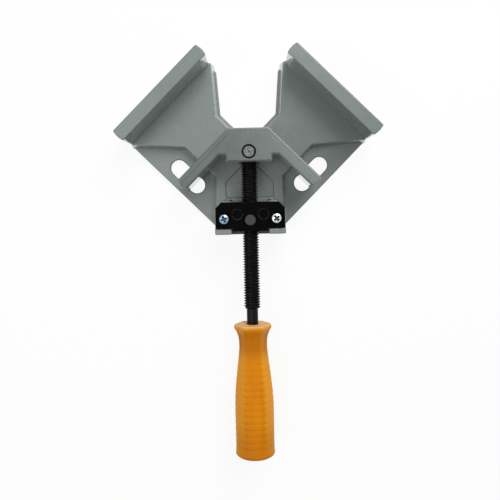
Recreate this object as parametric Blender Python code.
"""Corner clamp: a die-cast body with two fences at right angles, and a swing jaw driven by a screw.

Metres, +Z up. The origin is on the bench, under the axis that the screw's nut swivels on. +Y runs along
the screw towards the corner, and +X is to the right of it.
"""

import math

import bmesh
import bpy
from mathutils import Matrix

MM = 0.001
ROOT2 = math.sqrt(2)

# Clearances
GAP = 0.3 * MM  # between pieces that seat on each other
JAW_FLOAT = 0.6 * MM  # under the jaw, which slides over the platform

# Nut housing
NUT_WIDTH = 26.6 * MM
NUT_DEPTH = 17.0 * MM
BAY_WIDTH = NUT_WIDTH + 1.8 * MM  # between the pillars, where the nut swivels
PILLAR_WIDTH = 12.7 * MM
HOUSING_WIDTH = BAY_WIDTH + 2 * PILLAR_WIDTH
HOUSING_FRONT = 10.9 * MM  # ahead of the swivel axis, on the handle's side
HOUSING_REAR = 14.4 * MM
HOUSING_CHAMFER = 5.7 * MM
HOUSING_DRAFT = 1.3 * MM
HOUSING_TOP = 33.6 * MM
TAB_THICKNESS = 4.5 * MM
TAB_TOP = 37.5 * MM
LEDGE_DEPTH = 2.8 * MM
RIM_NOTCH = 2.2 * MM

# Casting
CORNER_OPENING = 43.0 * MM  # from where the fence faces would meet to the start of a fence
FENCE_LENGTH = 88.8 * MM
FENCE_THICKNESS = 10.6 * MM
FENCE_BULGE = 1.3 * MM
FENCE_TOP = 45.0 * MM
PLATE_THICKNESS = 4.0 * MM
PLATE_MARGIN = 0.9 * MM  # the wing plate past the fence's low end
PLATE_HEEL = 5.0 * MM  # ahead of the swivel axis, where a wing plate's edge meets the housing
PLATFORM_TOP = 12.0 * MM
PLATFORM_DRAFT = 2.0 * MM
PLATFORM_SETBACK = 4.5 * MM  # platform edge inside the fence's outer face
ARM_START = 68.3 * MM  # from the corner, along the fence
TAPER_DEPTH = 32.2 * MM  # from the fence to where the wing has narrowed to the arm
NOTCH_DEPTH = 88.5 * MM  # from the corner
NOTCH_LIP = 3.2 * MM  # the plate past the platform, round the notch
LIP_DROP = 4.4 * MM  # from the platform's tip down to where the lip starts
CASTING_EDGE = 1.0 * MM
WALL = 3.5 * MM
RIB = 3.0 * MM

# Bench slots
SLOT_WIDTH = 13.0 * MM
SLOT_SPAN = 20.2 * MM  # between the centres of its round ends
SLOT_EDGE = 13.35 * MM  # from the plate's edge to the slot's middle line
SLOT_START = 39.0 * MM  # from the fence's face to the first round end
SLOT_LAND = 9.2 * MM  # from the slot's side to the arm

# Where the fence faces would meet: the wing plates' edges run from the housing's heel to the fences' ends
PLATE_EDGE = CORNER_OPENING + FENCE_LENGTH + PLATE_MARGIN
CORNER_Y = ROOT2 * PLATE_EDGE - HOUSING_WIDTH / 2 - HOUSING_DRAFT - PLATE_HEEL
ARM_END = PLATE_EDGE - SLOT_EDGE - SLOT_WIDTH / 2 - SLOT_LAND
NOTCH_FLOOR_Y = CORNER_Y - NOTCH_DEPTH

# Recess in the platform under the screw
RECESS_WIDTH = HOUSING_WIDTH - 15.0 * MM
RECESS_FRONT = HOUSING_REAR + LEDGE_DEPTH + 0.3 * MM
RECESS_WEB = 20.0 * MM  # from the recess to the notch
RECESS_REAR = NOTCH_FLOOR_Y - RECESS_WEB
RECESS_TIP = 6.4 * MM  # its width at the rear
RECESS_DEPTH = 1.2 * MM

# Screw
SCREW_Z = 24.0 * MM
THREAD_DIAMETER = 12.8 * MM
THREAD_END = 68.8 * MM  # ahead of the swivel axis
NECK_DIAMETER = 8.8 * MM
NECK_LENGTH = 12.1 * MM
TANG_LENGTH = 55.0 * MM
NOSE_DIAMETER = 7.2 * MM
NOSE_PAST_PIN = 3.6 * MM
GROOVE_DEPTH = 0.9 * MM
CLIP_THICKNESS = 1.2 * MM
CLIP_DIAMETER = 11.6 * MM

# Nut's pivots
PIVOT_DIAMETER = 9.0 * MM
PIVOT_DEPTH = 8.2 * MM
PIVOT_WINDOW = 0.7 * MM  # round the upper pivot, in the cover

# Cover
COVER_WIDTH = HOUSING_WIDTH - 1.2 * MM
COVER_REAR = 13.7 * MM
COVER_CHAMFER = 4.6 * MM
COVER_THICKNESS = 5.1 * MM
LUG_WIDTH = BAY_WIDTH - 1.4 * MM
LUG_REACH = 2.4 * MM
SCREW_SPACING = BAY_WIDTH + 0.9 * PILLAR_WIDTH
SCREW_ROW_Y = 0.95 * MM
HEAD_DIAMETER = 8.0 * MM
HEAD_HEIGHT = 2.5 * MM
HEAD_RECESS = 10.0 * MM
COVER_SCREW_DIAMETER = 4.0 * MM
COVER_SCREW_LENGTH = 17.7 * MM
DIMPLE_DIAMETER = 7.7 * MM
DIMPLE_SPACING = SCREW_SPACING / 2
DIMPLE_Y = 4.45 * MM
DIMPLE_DEPTH = 0.6 * MM

# Swing jaw
PIN_Y = 51.3 * MM
JAW_APEX = 33.4 * MM  # from the pin to where the jaw's faces would meet
JAW_NOSE_WIDTH = 31.0 * MM
JAW_REACH = 77.2 * MM  # along a face, from where the faces would meet
JAW_WALL = 9.5 * MM
JAW_TOP = 42.5 * MM
JAW_BORDER = 3.5 * MM
JAW_CROWN = 0.6 * MM
HUB_WIDTH = 35.2 * MM
HUB_REAR = 7.6 * MM
HUB_NOTCH = 5.2 * MM
THROAT_WIDTH = 15.2 * MM
THROAT_HEIGHT = 14.6 * MM
THROAT_DEPTH = 11.0 * MM
JAW_CORE = 3.9 * MM

# Jaw pin
PIN_DIAMETER = 10.2 * MM
PIN_NOSE = 8.5 * MM
PIN_NOSE_HEIGHT = 1.5 * MM
PIN_PIP = 1.4 * MM  # the lathe centre's mark in its head
RING_HEIGHT = 1.0 * MM
RING_DIAMETER = 10.3 * MM

# Handle
HANDLE_LENGTH = 101.4 * MM
HANDLE_TOP_WIDTH = 28.9 * MM
HANDLE_NECK_WIDTH = 21.6 * MM
HANDLE_BELLY_WIDTH = 30.0 * MM
HANDLE_SIDES = 6
HANDLE_FACET = math.radians(26)  # each side of a facet's middle; the rest is the rounded corner
NECK_DOWN = 0.175  # shares of the length, from the top
BELLY_DOWN = 0.65

ARC_STEPS = 3
ROUND_STEPS = 32


def clear_scene():
    for obj in list(bpy.data.objects):
        bpy.data.objects.remove(obj, do_unlink=True)


def material(name, colour, roughness, metallic):
    made = bpy.data.materials.new(name)
    made.use_nodes = True
    shader = made.node_tree.nodes["Principled BSDF"]
    shader.inputs["Base Color"].default_value = (*colour, 1.0)
    shader.inputs["Roughness"].default_value = roughness
    shader.inputs["Metallic"].default_value = metallic
    return made


def add_object(name, mesh, finish=None):
    obj = bpy.data.objects.new(name, mesh)
    bpy.context.collection.objects.link(obj)
    if finish:
        mesh.materials.append(finish)
    return obj


def shade(obj, degrees=35):
    obj.data.shade_smooth()
    obj.data.set_sharp_from_angle(angle=math.radians(degrees))


def hide_tool(obj):
    obj.hide_render = True
    obj.display_type = "WIRE"


def combine(target, tools, operation):
    for tool in tools:
        hide_tool(tool)
        modifier = target.modifiers.new(tool.name, "BOOLEAN")
        modifier.operation = operation
        modifier.solver = "EXACT"
        modifier.object = tool


# Outlines

def mirrored(corners):
    """The same outline on the other side of X = 0, still anticlockwise."""
    return [(-x, y, r) for x, y, r in reversed(corners)]


def symmetric(right_side):
    """A whole outline from its right side, listed from the handle's end to the corner."""
    return right_side + mirrored(right_side)


def wing(along, inward, radius=0.0):
    """A corner on the right wing: along the fence from the corner, and inward from the fence's face."""
    return ((along - inward) / ROOT2, CORNER_Y - (along + inward) / ROOT2, radius)


def unit(a, b):
    length = math.hypot(b[0] - a[0], b[1] - a[1])
    return ((b[0] - a[0]) / length, (b[1] - a[1]) / length)


def outline_ring(corners, inset, steps):
    """The outline moved inwards, with each corner that has a radius turned into an arc."""
    ring = []
    for i, (x, y, radius) in enumerate(corners):
        before = unit(corners[i - 1], (x, y))
        after = unit((x, y), corners[(i + 1) % len(corners)])
        turn = math.atan2(
            before[0] * after[1] - before[1] * after[0],
            before[0] * after[0] + before[1] * after[1],
        )
        share = inset / (1 + before[0] * after[0] + before[1] * after[1])
        x += share * (-before[1] - after[1])
        y += share * (before[0] + after[0])
        if not radius:
            ring.append((x, y))
            continue
        side = math.copysign(1, turn)
        arc = max(radius - side * inset, 0.1 * MM)
        back = arc * math.tan(abs(turn) / 2)
        start = (x - before[0] * back, y - before[1] * back)
        centre = (start[0] - before[1] * side * arc, start[1] + before[0] * side * arc)
        for step in range(steps + 1):
            angle = turn * step / steps
            dx, dy = start[0] - centre[0], start[1] - centre[1]
            ring.append((
                centre[0] + dx * math.cos(angle) - dy * math.sin(angle),
                centre[1] + dx * math.sin(angle) + dy * math.cos(angle),
            ))
    return ring


def prism(name, outlines, levels, finish=None, steps=ARC_STEPS):
    """One solid for each outline, through levels of (height, inset) from the bottom up."""
    made = bmesh.new()
    for corners in outlines:
        rings = [
            [made.verts.new((x, y, z)) for x, y in outline_ring(corners, inset, steps)]
            for z, inset in levels
        ]
        for low, high in zip(rings, rings[1:]):
            for i, vert in enumerate(low):
                follow = (i + 1) % len(low)
                made.faces.new((vert, low[follow], high[follow], high[i]))
        made.faces.new(reversed(rings[0]))
        made.faces.new(rings[-1])
    mesh = bpy.data.meshes.new(name)
    made.to_mesh(mesh)
    made.free()
    return add_object(name, mesh, finish)


def soft_top(bottom, top, edge, draft=0.0):
    """Levels of a drafted side with a rounded upper edge; the outline is true where the rounding starts."""
    return [
        (bottom, -draft),
        (top - edge, 0.0),
        (top - 0.3 * edge, 0.3 * edge),
        (top, edge),
    ]


def cored(top, edge=1.0 * MM, mouth=-1.0 * MM):
    """Levels of a drafted pocket cut from below."""
    return [(mouth, 0.0), (top - edge, 0.4 * MM), (top, 0.4 * MM + 0.7 * edge)]


def turned(name, profile, finish=None, at=(0, 0, 0), axis="Z", steps=ROUND_STEPS):
    """A turned solid from (radius, distance) pairs, listed from the lowest distance to the highest."""
    made = bmesh.new()
    rings = []
    for radius, distance in profile:
        count = steps if radius else 1
        rings.append([
            made.verts.new((
                radius * math.cos(2 * math.pi * i / count),
                radius * math.sin(2 * math.pi * i / count),
                distance,
            ))
            for i in range(count)
        ])
    for low, high in zip(rings, rings[1:]):
        for i in range(steps):
            follow = (i + 1) % steps
            if len(low) == 1:
                made.faces.new((low[0], high[follow], high[i]))
            elif len(high) == 1:
                made.faces.new((low[i], low[follow], high[0]))
            else:
                made.faces.new((low[i], low[follow], high[follow], high[i]))
    for ring, outward in ((rings[0], False), (rings[-1], True)):
        if len(ring) > 1:
            made.faces.new(ring if outward else reversed(ring))
    if axis == "Y":
        made.transform(Matrix.Rotation(math.radians(-90), 4, "X"))
    mesh = bpy.data.meshes.new(name)
    made.to_mesh(mesh)
    made.free()
    obj = add_object(name, mesh, finish)
    obj.location = at
    shade(obj)
    return obj


def rod(name, diameter, low, high, at=(0, 0, 0), axis="Z", steps=ROUND_STEPS):
    return turned(name, [(diameter / 2, low), (diameter / 2, high)], at=at, axis=axis, steps=steps)


def washer(name, inner, outer, low, high, finish, at=(0, 0, 0), axis="Z"):
    """A flat ring with its edges broken."""
    edge = 0.15 * (high - low)
    ring = turned(
        name,
        [(outer / 2 - edge, low), (outer / 2, low + edge), (outer / 2, high - edge), (outer / 2 - edge, high)],
        finish, at, axis,
    )
    combine(ring, [rod(name + "_hole", inner, low - 1 * MM, high + 1 * MM, at, axis)], "DIFFERENCE")
    return ring


# Casting

def plate_outline():
    """The thin plate that everything else in the casting stands on."""
    half = HOUSING_WIDTH / 2 + HOUSING_DRAFT
    outer = FENCE_THICKNESS - PLATFORM_SETBACK
    tip, knee, floor = platform_outline()[6:9]
    up = unit(knee, tip)
    return symmetric([
        (half, -HOUSING_FRONT, 1 * MM),
        (half, -PLATE_HEEL, 2 * MM),
        wing(PLATE_EDGE, 0, 1 * MM),
        wing(PLATE_EDGE - PLATE_MARGIN - 2 * MM, -outer, 1 * MM),
        wing(CORNER_OPENING + 2 * MM, -outer, 1 * MM),
        (tip[0] - up[0] * LIP_DROP + 2 * MM, tip[1] - up[1] * LIP_DROP, 0),
        (tip[0] - up[0] * LIP_DROP - NOTCH_LIP, tip[1] - up[1] * LIP_DROP, 2 * MM),
        (knee[0] - NOTCH_LIP, knee[1] + (ROOT2 - 1) * NOTCH_LIP, 2 * MM),
        (floor[0] - (ROOT2 - 1) * NOTCH_LIP, floor[1] + NOTCH_LIP, 2 * MM),
    ])


def platform_outline():
    half = HOUSING_WIDTH / 2
    outer = FENCE_THICKNESS - PLATFORM_SETBACK
    end = CORNER_OPENING + FENCE_LENGTH
    side = wing(ARM_END, TAPER_DEPTH)
    return symmetric([
        (half, 0, 0),
        (half, side[1] - (side[0] - half), 2 * MM),
        wing(ARM_END, TAPER_DEPTH, 2 * MM),
        wing(end, 0.3 * MM, 1 * MM),
        wing(end - 2 * MM, -outer, 1 * MM),
        wing(CORNER_OPENING + 2 * MM, -outer, 1 * MM),
        wing(CORNER_OPENING - 2 * MM, 0.6 * MM, 1.5 * MM),
        wing(ARM_START, TAPER_DEPTH, 2 * MM),
        (ARM_START * ROOT2 - (CORNER_Y - NOTCH_FLOOR_Y), NOTCH_FLOOR_Y, 2 * MM),
    ])


def fence_outline():
    start, end = CORNER_OPENING, CORNER_OPENING + FENCE_LENGTH
    middle = FENCE_THICKNESS / 2
    bulge_radius = 1.4 * FENCE_THICKNESS
    return [
        wing(end, 0, 1 * MM),
        wing(end + FENCE_BULGE, -middle, bulge_radius),
        wing(end, -FENCE_THICKNESS, 1 * MM),
        wing(start, -FENCE_THICKNESS, 1 * MM),
        wing(start - FENCE_BULGE, -middle, bulge_radius),
        wing(start, 0, 1 * MM),
    ]


def housing_outline(rear=HOUSING_REAR, chamfer=HOUSING_CHAMFER):
    half = HOUSING_WIDTH / 2
    return symmetric([
        (half, -HOUSING_FRONT, 1.2 * MM),
        (half, rear - chamfer, 1 * MM),
        (half - chamfer, rear, 1 * MM),
    ])


def tab_outline():
    low, high = BAY_WIDTH / 2, HOUSING_WIDTH / 2
    front, rear = -HOUSING_FRONT, TAB_THICKNESS - HOUSING_FRONT
    return [(low, front, 1.2 * MM), (high, front, 1.2 * MM), (high, rear, 0.6 * MM), (low, rear, 0.6 * MM)]


def recess_outline():
    """The shallow recess in the platform under the screw."""
    half = RECESS_WIDTH / 2
    knee = RECESS_FRONT + 0.43 * (RECESS_REAR - RECESS_FRONT)
    return symmetric([
        (half, RECESS_FRONT, 1 * MM),
        (half, knee, 1 * MM),
        (RECESS_TIP / 2, RECESS_REAR, 1 * MM),
    ])


def slot_outline():
    """One bench slot, parallel to the wing plate's outer edge."""
    middle = PLATE_EDGE - SLOT_EDGE
    half = SLOT_WIDTH / 2
    near, far = SLOT_START - half, SLOT_START + SLOT_SPAN + half
    radius = half - 0.01 * MM
    return [
        wing(middle - half, near, radius),
        wing(middle - half, far, radius),
        wing(middle + half, far, radius),
        wing(middle + half, near, radius),
    ]


def clipped(corners, point, direction):
    """The part of a convex outline to the left of a line."""
    def height(corner):
        return direction[0] * (corner[1] - point[1]) - direction[1] * (corner[0] - point[0])

    kept = []
    for i, here in enumerate(corners):
        last = corners[i - 1]
        if height(here) * height(last) < 0:
            share = height(last) / (height(last) - height(here))
            kept.append((
                last[0] + share * (here[0] - last[0]),
                last[1] + share * (here[1] - last[1]),
                last[2],
            ))
        if height(here) >= 0:
            kept.append(here)
    return kept


def closed_up(corners, shortest):
    """The outline with each side shorter than this drawn together into one corner."""
    kept = []
    for x, y, radius in corners:
        if kept and math.hypot(x - kept[-1][0], y - kept[-1][1]) < shortest:
            kept[-1] = ((x + kept[-1][0]) / 2, (y + kept[-1][1]) / 2, radius)
        else:
            kept.append((x, y, radius))
    first, last = kept[0], kept[-1]
    if math.hypot(first[0] - last[0], first[1] - last[1]) < shortest:
        kept[0] = ((first[0] + last[0]) / 2, (first[1] + last[1]) / 2, first[2])
        kept.pop()
    return kept


def wing_cells():
    """Pockets under one wing: the tapering part, cut into cells by ribs at the arm's sides and middle."""
    end = CORNER_OPENING + FENCE_LENGTH
    radius = 1.2 * MM
    taper = [
        wing(CORNER_OPENING + 2 * WALL, RIB, radius),
        wing(ARM_START + WALL, TAPER_DEPTH - RIB / 2, radius),
        wing(ARM_END - WALL, TAPER_DEPTH - RIB / 2, radius),
        wing(end - 3 * WALL, RIB, radius),
    ]
    arm = [
        wing(ARM_START + WALL, TAPER_DEPTH + RIB / 2, radius),
        wing(ARM_START + WALL, 2.2 * TAPER_DEPTH, radius),
        wing(ARM_END - WALL, 2.2 * TAPER_DEPTH, radius),
        wing(ARM_END - WALL, TAPER_DEPTH + RIB / 2, radius),
    ]
    arm = clipped(arm, (0, RECESS_REAR + RIB / 2), (1, 0))
    arm = clipped(arm, (RIB / 2, 0), (0, -1))
    stations = [0, ARM_START + WALL, (ARM_START + ARM_END) / 2, ARM_END - WALL, 2 * end]
    cells = []
    for low, high in zip(stations, stations[1:]):
        for whole in (taper, arm):
            cell = clipped(whole, wing(low + RIB / 2, 0), (-1, -1))
            cell = clipped(cell, wing(high - RIB / 2, 0), (1, 1))
            if len(cell) > 2:
                cells.append(closed_up(cell, 2.2 * radius))
    return cells


def fence_cells():
    """Deep slots that core a fence from below, with ribs between them."""
    count, skin = 4, 3.2 * MM
    start, pitch = CORNER_OPENING + skin, (FENCE_LENGTH - 2 * skin + RIB) / 4
    cells = []
    for i in range(count):
        low, high = start + i * pitch, start + (i + 1) * pitch - RIB
        cells.append([
            wing(high, -skin, 0.8 * MM),
            wing(high, skin - FENCE_THICKNESS, 0.8 * MM),
            wing(low, skin - FENCE_THICKNESS, 0.8 * MM),
            wing(low, -skin, 0.8 * MM),
        ])
    return cells


def rectangle(x0, y0, x1, y1, radius=1.2 * MM):
    return [(x0, y0, radius), (x1, y0, radius), (x1, y1, radius), (x0, y1, radius)]


def both(outlines):
    return outlines + [mirrored(corners) for corners in outlines]


def make_body(finish):
    """The casting: plate, platform, fences and housing joined, then cored and cut."""
    body = prism("clamp_body", [plate_outline()], soft_top(0, PLATE_THICKNESS, 0.8 * MM), finish)
    half_bay = BAY_WIDTH / 2
    seat_z = nut_bottom() - GAP
    combine(body, [
        prism("platform_form", [platform_outline()],
              soft_top(0.5 * MM, PLATFORM_TOP, CASTING_EDGE, PLATFORM_DRAFT)),
        prism("fence_form", both([fence_outline()]), soft_top(0, FENCE_TOP, 0.8 * MM)),
        prism("housing_form", [housing_outline()],
              soft_top(0.2 * MM, HOUSING_TOP, 0.6 * MM, HOUSING_DRAFT)),
        prism("ledge_form", [housing_outline(HOUSING_REAR + LEDGE_DEPTH, HOUSING_CHAMFER + 2.9 * MM)],
              soft_top(0.4 * MM, seat_z, 1 * MM, HOUSING_DRAFT)),
    ], "UNION")
    combine(body, [
        prism("bay_cut", [rectangle(-half_bay, -2 * HOUSING_FRONT, half_bay, 2 * HOUSING_REAR)],
              [(seat_z, 0), (2 * HOUSING_TOP, 0)]),
    ], "DIFFERENCE")
    combine(body, [
        prism("tab_form", both([tab_outline()]), soft_top(HOUSING_TOP / 2, TAB_TOP, 1 * MM)),
    ], "UNION")
    combine(body, [
        prism("recess_cut", [recess_outline()],
              [(PLATFORM_TOP - RECESS_DEPTH, 0.6 * MM), (PLATFORM_TOP + 1 * MM, 0)]),
        prism("slot_cut", both([slot_outline()]),
              [(-1 * MM, 0), (PLATE_THICKNESS - 0.6 * MM, 0), (PLATE_THICKNESS + 0.4 * MM, -1 * MM)], steps=6),
        prism("rim_notch_cut", both([rectangle(
            half_bay, HOUSING_REAR - 1 * MM, half_bay + RIM_NOTCH, HOUSING_REAR + 1.2 * MM, 0.4 * MM)]),
              [(PLATFORM_TOP, 0), (HOUSING_TOP / 2, 0)]),
        prism("wing_core", both(wing_cells()), cored(PLATFORM_TOP - WALL)),
        prism("fence_core", both(fence_cells()), cored(FENCE_TOP - WALL)),
        prism("floor_core", both(floor_cells()), cored(PLATFORM_TOP - RECESS_DEPTH - WALL)),
        prism("pillar_core", both([pillar_cell()]), cored(HOUSING_TOP - COVER_SCREW_LENGTH - WALL)),
        rod("pivot_hole", PIVOT_DIAMETER + 2 * GAP, nut_bottom() - PIVOT_DEPTH - GAP, HOUSING_TOP),
    ], "DIFFERENCE")
    combine(body, [
        rod(f"tapped_hole_{side}", COVER_SCREW_DIAMETER + 2 * GAP,
            cover_floor() - COVER_SCREW_LENGTH + GAP, 2 * HOUSING_TOP,
            at=(x, SCREW_ROW_Y, 0), steps=16)
        for side, x in screw_places()
    ], "DIFFERENCE")
    return body


def floor_cells():
    """Pockets under the recess, two on each side of the middle rib."""
    half, rear = HOUSING_WIDTH / 2 - WALL, RECESS_REAR - RIB / 2
    middle = half / 2
    return [
        rectangle(RIB / 2, RECESS_FRONT, middle - RIB / 2, rear),
        rectangle(middle + RIB / 2, RECESS_FRONT, half, rear - RIB),
    ]


def pillar_cell():
    low, high = BAY_WIDTH / 2 + WALL, HOUSING_WIDTH / 2 - WALL
    return rectangle(low, WALL - HOUSING_FRONT, high, HOUSING_REAR - HOUSING_CHAMFER)


# Nut, cover and its screws

def nut_bottom():
    return 2 * SCREW_Z - nut_top()


def nut_top():
    return HOUSING_TOP - 0.1 * MM


def cover_floor():
    return HOUSING_TOP + GAP


def cover_top():
    return cover_floor() + COVER_THICKNESS


def screw_places():
    return (("left", -SCREW_SPACING / 2), ("right", SCREW_SPACING / 2))


def make_nut(finish):
    """The block that swivels on its upper and lower pivots, bored for the screw."""
    half_x, half_y = NUT_WIDTH / 2, NUT_DEPTH / 2
    edge = 0.5 * MM
    nut = prism(
        "swivel_nut", [rectangle(-half_x, -half_y, half_x, half_y, 1 * MM)],
        [(nut_bottom(), edge), (nut_bottom() + edge, 0), (nut_top() - edge, 0), (nut_top(), edge)], finish,
    )
    radius, chamfer = PIVOT_DIAMETER / 2, 0.5 * MM
    foot, head = nut_bottom() - PIVOT_DEPTH, cover_top() - GAP
    pivots = turned(
        "pivot_form",
        [(radius - chamfer, foot), (radius, foot + chamfer), (radius, head - chamfer), (radius - chamfer, head)],
    )
    combine(nut, [pivots], "UNION")
    bore = rod("nut_bore", THREAD_DIAMETER + 2 * GAP, -NUT_DEPTH, NUT_DEPTH, at=(0, 0, SCREW_Z), axis="Y")
    combine(nut, [bore], "DIFFERENCE")
    return nut


def make_cover(finish):
    half, lug = COVER_WIDTH / 2, LUG_WIDTH / 2
    front = TAB_THICKNESS - HOUSING_FRONT + GAP
    outline = symmetric([
        (lug, front - LUG_REACH, 0.8 * MM),
        (lug, front, 0.5 * MM),
        (half, front, 0.8 * MM),
        (half, COVER_REAR - COVER_CHAMFER, 0.8 * MM),
        (half - COVER_CHAMFER, COVER_REAR, 0.8 * MM),
    ])
    cover = prism("nut_cover", [outline], soft_top(cover_floor(), cover_top(), 0.8 * MM), finish)
    over = cover_top() + 1 * MM
    cuts = [
        rod("pivot_window", PIVOT_DIAMETER + 2 * PIVOT_WINDOW, 0, over),
    ]
    for side, x in screw_places():
        place = (x, SCREW_ROW_Y, 0)
        cuts.append(rod(f"head_recess_{side}", HEAD_RECESS, head_seat(), over, place))
        cuts.append(rod(f"screw_hole_{side}", COVER_SCREW_DIAMETER + 2 * GAP, 0, over, place, steps=16))
    for side, x in (("left", -DIMPLE_SPACING / 2), ("right", DIMPLE_SPACING / 2)):
        cuts.append(rod(f"dimple_{side}", DIMPLE_DIAMETER, cover_top() - DIMPLE_DEPTH, over, (x, DIMPLE_Y, 0)))
    combine(cover, cuts, "DIFFERENCE")
    return cover


def head_seat():
    return cover_top() - HEAD_HEIGHT


def make_cover_screw(side, x, finish):
    """A pan-head screw that holds the cover down on a pillar."""
    head, shank = HEAD_DIAMETER / 2, COVER_SCREW_DIAMETER / 2
    seat = head_seat() + GAP
    tip = seat - COVER_SCREW_LENGTH
    profile = [
        (0, tip), (0.6 * shank, tip), (shank, tip + 0.4 * shank), (shank, seat), (0.96 * head, seat),
        (head, seat + 0.15 * HEAD_HEIGHT), (0.97 * head, seat + 0.55 * HEAD_HEIGHT),
        (0.8 * head, seat + 0.86 * HEAD_HEIGHT), (0.5 * head, seat + HEAD_HEIGHT), (0, seat + HEAD_HEIGHT),
    ]
    return turned(f"cover_screw_{side}", profile, finish, at=(x, SCREW_ROW_Y, 0), steps=24)


# Screw, pin and jaw

def make_screw(finish, parent):
    """The clamp screw: nose with a clip groove, threaded length, neck and the tang inside the handle."""
    thread, neck, nose = THREAD_DIAMETER / 2, NECK_DIAMETER / 2, NOSE_DIAMETER / 2
    groove = nose - GROOVE_DEPTH
    pin_side = PIN_DIAMETER / 2
    clip_near = pin_side + GAP
    tip = clip_near + CLIP_THICKNESS + NOSE_PAST_PIN - GAP
    end, neck_end = -PIN_Y - THREAD_END, -PIN_Y - THREAD_END - NECK_LENGTH
    tang = neck - 0.4 * MM
    profile = [
        (0, neck_end - TANG_LENGTH), (tang - 1 * MM, neck_end - TANG_LENGTH),
        (tang, neck_end - TANG_LENGTH + 1 * MM), (tang, neck_end), (neck, neck_end),
        (neck, end), (thread - 0.8 * MM, end), (thread, end + 0.8 * MM),
        (thread, -pin_side - GAP - 0.8 * MM), (thread - 0.8 * MM, -pin_side - GAP),
        (nose, -pin_side - GAP), (nose, clip_near - GAP), (groove, clip_near - GAP),
        (groove, clip_near + CLIP_THICKNESS + GAP), (nose, clip_near + CLIP_THICKNESS + GAP),
        (nose, tip - 0.8 * MM), (nose - 0.8 * MM, tip), (0, tip),
    ]
    screw = turned("clamp_screw", profile, finish, axis="Y")
    screw.parent = parent
    clip = washer(
        "spindle_clip", 2 * (groove + GAP), CLIP_DIAMETER, clip_near, clip_near + CLIP_THICKNESS, finish, axis="Y",
    )
    clip.parent = parent
    bpy.data.objects["spindle_clip_hole"].parent = parent
    return screw


def make_pin(finish, ring_finish):
    """The upright pin, its cross bore for the screw's nose, and the ring that sits on its shoulder."""
    radius, nose = PIN_DIAMETER / 2, PIN_NOSE / 2
    crown = JAW_TOP + JAW_CROWN
    foot, head = PLATFORM_TOP + 2 * JAW_FLOAT, crown - 0.2 * MM
    shoulder = head - PIN_NOSE_HEIGHT
    chamfer = 0.4 * MM
    pin = turned("jaw_pivot_pin", [
        (radius - chamfer, foot), (radius, foot + chamfer), (radius, shoulder), (nose, shoulder),
        (nose, head - chamfer), (nose - chamfer, head), (PIN_PIP / 2, head), (0, head - PIN_PIP / 3),
    ], finish, at=(0, PIN_Y, 0))
    bore = rod("pin_cross_bore", NOSE_DIAMETER + 2 * GAP, -PIN_DIAMETER, PIN_DIAMETER,
               at=(0, PIN_Y, SCREW_Z), axis="Y", steps=24)
    combine(pin, [bore], "DIFFERENCE")
    washer("pivot_retaining_ring", PIN_NOSE + 2 * GAP * 0.9, RING_DIAMETER,
           shoulder + 0.2 * MM, shoulder + 0.2 * MM + RING_HEIGHT, ring_finish, at=(0, PIN_Y, 0))
    return pin


def jaw_outline(border=0.0, rear=0.0):
    """The jaw about its pin: nose, two wings at right angles and the hub; border moves the faces in."""
    apex = JAW_APEX - border * ROOT2
    inner = JAW_APEX - JAW_WALL * ROOT2
    nose_half = JAW_NOSE_WIDTH / 2 - border * (ROOT2 - 1)
    nose_y = JAW_APEX - JAW_NOSE_WIDTH / 2 - border
    half_hub, notch_y = HUB_WIDTH / 2 - rear, HUB_NOTCH - HUB_REAR
    reach = JAW_REACH - rear
    tip_x = reach / ROOT2

    def on_face(apex_y, x, radius):
        return (x, apex_y - x, radius)

    shift = JAW_WALL / ROOT2
    outer_shift = border / ROOT2
    inner_x = tip_x - shift
    outer = (tip_x - outer_shift, apex - tip_x + outer_shift, 2.6 * MM if not border else 0.8 * MM)
    right = [
        (half_hub, rear - HUB_REAR, 0.8 * MM),
        (half_hub, notch_y + rear, 0.6 * MM),
        on_face(inner + rear * ROOT2, inner - notch_y + rear * (ROOT2 - 1), 0.6 * MM),
        (inner_x + rear / ROOT2, inner - inner_x + rear / ROOT2, 2.6 * MM if not border else 0.8 * MM),
        outer,
        (nose_half, nose_y, 1.5 * MM),
    ]
    return symmetric(right)


def shifted(corners, dy):
    return [(x, y + dy, r) for x, y, r in corners]


def make_jaw(finish):
    foot = PLATFORM_TOP + JAW_FLOAT
    edge = 1.0 * MM
    jaw = prism("swing_jaw", [shifted(jaw_outline(), PIN_Y)], [
        (foot, 0.4 * MM), (foot + 0.4 * MM, 0), (JAW_TOP - edge, 0), (JAW_TOP - 0.3 * edge, 0.3 * edge), (JAW_TOP, edge),
    ], finish)
    crown = prism("crown_form", [shifted(jaw_outline(JAW_BORDER, 0.9 * MM), PIN_Y)],
                  [(JAW_TOP - 4 * MM, 0), (JAW_TOP + JAW_CROWN - 0.3 * MM, 0), (JAW_TOP + JAW_CROWN, 0.3 * MM)])
    combine(jaw, [crown], "UNION")
    throat = prism(
        "throat_cut",
        [rectangle(-THROAT_WIDTH / 2, PIN_Y - 3 * HUB_REAR, THROAT_WIDTH / 2, PIN_Y + THROAT_DEPTH, 1.5 * MM)],
        [(SCREW_Z - THROAT_HEIGHT / 2, 0), (SCREW_Z + THROAT_HEIGHT / 2, 0)],
    )
    bore = rod("jaw_bore", PIN_DIAMETER + 2 * GAP, 0, 2 * JAW_TOP, at=(0, PIN_Y, 0))
    combine(jaw, [throat, bore], "DIFFERENCE")
    core = prism("jaw_core", both([shifted(jaw_cell(), PIN_Y)]), cored(JAW_TOP - WALL, mouth=foot - 1 * MM))
    combine(jaw, [core], "DIFFERENCE")
    return jaw


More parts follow.
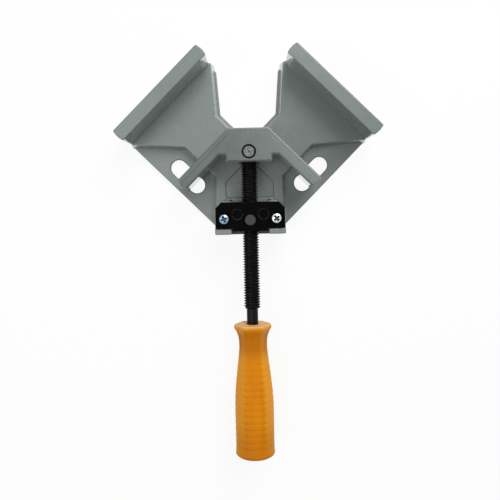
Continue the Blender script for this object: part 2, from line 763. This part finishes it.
def jaw_cell():
    """The slot that cores one wing of the jaw from below, in the middle of its wall."""
    skin = (JAW_WALL - JAW_CORE) / 2
    outer, inner = JAW_APEX - skin * ROOT2, JAW_APEX - (JAW_WALL - skin) * ROOT2
    start, end = HUB_WIDTH / 2 + WALL, (JAW_REACH - skin) / ROOT2
    side = JAW_CORE / ROOT2
    return [
        (start, inner - start, 0.8 * MM),
        (end - side, inner - end + side, 0.8 * MM),
        (end, outer - end, 0.8 * MM),
        (start + side, outer - start - side, 0.8 * MM),
    ]


# Handle

def smooth_step(low, high, value):
    share = min(max((value - low) / (high - low), 0.0), 1.0)
    return share * share * (3 - 2 * share)


def handle_half_width(down):
    """Half the width across the corners, at a share of the handle's length from its top."""
    top, neck, belly = HANDLE_TOP_WIDTH / 2, HANDLE_NECK_WIDTH / 2, HANDLE_BELLY_WIDTH / 2
    if down < NECK_DOWN:
        return neck + (top - neck) * (1 - max(down - 0.03, 0) / (NECK_DOWN - 0.03)) ** 3
    if down < BELLY_DOWN:
        swell = math.sin(math.pi / 2 * (down - NECK_DOWN) / (BELLY_DOWN - NECK_DOWN)) ** 1.25
        return neck + (belly - neck) * swell
    return belly - 0.12 * MM * smooth_step(BELLY_DOWN, 0.94, down) + 0.3 * MM * smooth_step(0.94, 0.98, down)


def handle_roundness(down):
    """0 is a hexagon and 1 a circle: crisp at the flange, softer along the grip, round at the base."""
    return 0.25 * smooth_step(0.05, 0.35, down) + 0.75 * smooth_step(0.7, 0.97, down)


def handle_section(down, inset=0.0):
    half = handle_half_width(min(down, 1.0)) - inset
    blend = handle_roundness(down)
    points = []
    count = HANDLE_SIDES * 8
    for i in range(count):
        angle = 2 * math.pi * i / count
        within = abs(angle % (2 * math.pi / HANDLE_SIDES) - math.pi / HANDLE_SIDES)
        hexagon = math.cos(HANDLE_FACET) / math.cos(min(within, HANDLE_FACET))
        radius = half * (hexagon + (1 - hexagon) * blend)
        points.append((radius * math.cos(angle), radius * math.sin(angle)))
    return points


def make_handle(finish, parent):
    """The grip: hexagonal sections lofted from the flange to the round base, bored for the tang."""
    top = -PIN_Y - THREAD_END - NECK_LENGTH
    stations = [(0.0, 0.8 * MM), (0.008, 0.0), (0.03, 0.0), (0.05, 0.0), (0.075, 0.0), (0.105, 0.0), (0.14, 0.0)]
    stations += [(NECK_DOWN + 0.067 * i, 0.0) for i in range(12)]
    stations += [(0.95, 0.0), (0.965, 0.0), (0.98, 0.2 * MM), (0.992, 1.2 * MM), (1.0, 3.0 * MM)]
    made = bmesh.new()
    rings = [
        [made.verts.new((x, top - down * HANDLE_LENGTH, z)) for x, z in handle_section(down, inset)]
        for down, inset in stations
    ]
    for near, far in zip(rings, rings[1:]):
        for i, vert in enumerate(near):
            follow = (i + 1) % len(near)
            made.faces.new((vert, near[follow], far[follow], far[i]))
    made.faces.new(reversed(rings[0]))
    made.faces.new(rings[-1])
    mesh = bpy.data.meshes.new("handle")
    made.to_mesh(mesh)
    made.free()
    handle = add_object("handle", mesh, finish)
    shade(handle)
    handle.parent = parent
    bore = rod("handle_bore", NECK_DIAMETER + 2 * GAP, top - TANG_LENGTH - 2 * GAP, top + 1 * MM, axis="Y")
    bore.parent = parent
    combine(handle, [bore], "DIFFERENCE")
    return handle


def main():
    clear_scene()
    paint = material("grey_casting_paint", (0.21, 0.24, 0.225), 0.35, 0.0)
    steel = material("turned_steel", (0.42, 0.42, 0.41), 0.35, 1.0)
    zinc = material("zinc_casting", (0.17, 0.18, 0.17), 0.5, 1.0)
    plated = material("zinc_plate", (0.75, 0.78, 0.8), 0.25, 1.0)
    black_steel = material("black_steel", (0.012, 0.012, 0.011), 0.4, 0.6)
    black_paint = material("black_paint", (0.01, 0.01, 0.01), 0.4, 0.0)
    orange = material("orange_plastic", (0.65, 0.2, 0.01), 0.4, 0.0)

    spindle = bpy.data.objects.new("spindle_axis", None)
    spindle.location = (0, PIN_Y, SCREW_Z)
    bpy.context.collection.objects.link(spindle)

    make_body(paint)
    make_jaw(paint)
    make_pin(steel, black_steel)
    make_screw(black_steel, spindle)
    make_nut(zinc)
    make_cover(black_paint)
    for side, x in screw_places():
        make_cover_screw(side, x, plated)
    make_handle(orange, spindle)


main()
